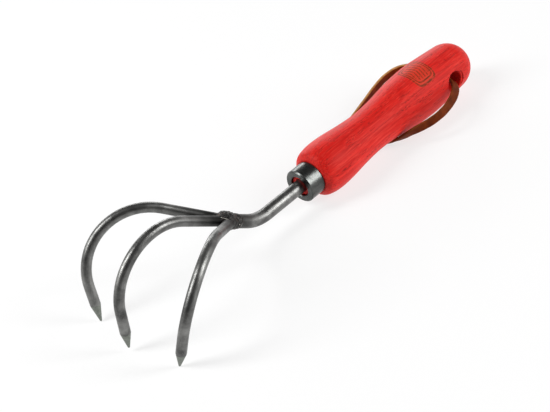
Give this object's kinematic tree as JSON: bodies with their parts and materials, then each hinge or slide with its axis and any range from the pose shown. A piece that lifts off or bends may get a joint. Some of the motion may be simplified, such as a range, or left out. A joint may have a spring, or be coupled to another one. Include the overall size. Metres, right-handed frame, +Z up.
{
  "type": "hand cultivator",
  "caption": "Hand cultivator with hooked steel tines welded to a bent shank, a steel ferrule, and a waisted red wooden handle with a hanging hole and a knotted leather loop.",
  "frame": {"origin": "middle of the tool's bounding box, without its leather loop, on the surface that the tool lies on", "axes": "+X along the tool from the tines to the butt of the handle, +Z up with the tool lying on its handle and its two outer tine tips, +Y across the tool, towards the user's right hand side when the tines point away from them and hook downwards"},
  "size_m": [0.2888, 0.087, 0.0591],
  "materials": {
    "stained_ash": "red stain under a satin clear coat",
    "ferrule_steel": "turned, satin",
    "tine_steel": "dark forged steel with worn, semi-bright flats",
    "weld_metal": "rough weld bead with light rust and scale",
    "thong_leather": "matte, tan cut edges"
  },
  "bodies": {
    "tool": {"handle": "stained_ash", "ferrule": "ferrule_steel", "shank": "tine_steel", "centre_tine": "tine_steel", "left_tine": "tine_steel", "right_tine": "tine_steel", "top_weld": "weld_metal", "bottom_weld": "weld_metal"},
    "thong_loop": {"thong": "thong_leather", "thong_knot": "thong_leather"}
  },
  "joints": [
    {"name": "thong_swing", "type": "hinge", "parent": "tool", "child": "thong_loop", "pos_m": [0.12012, 0, 0.0169], "axis": [0, -1, 0], "range_deg": [0, 300]}
  ]
}
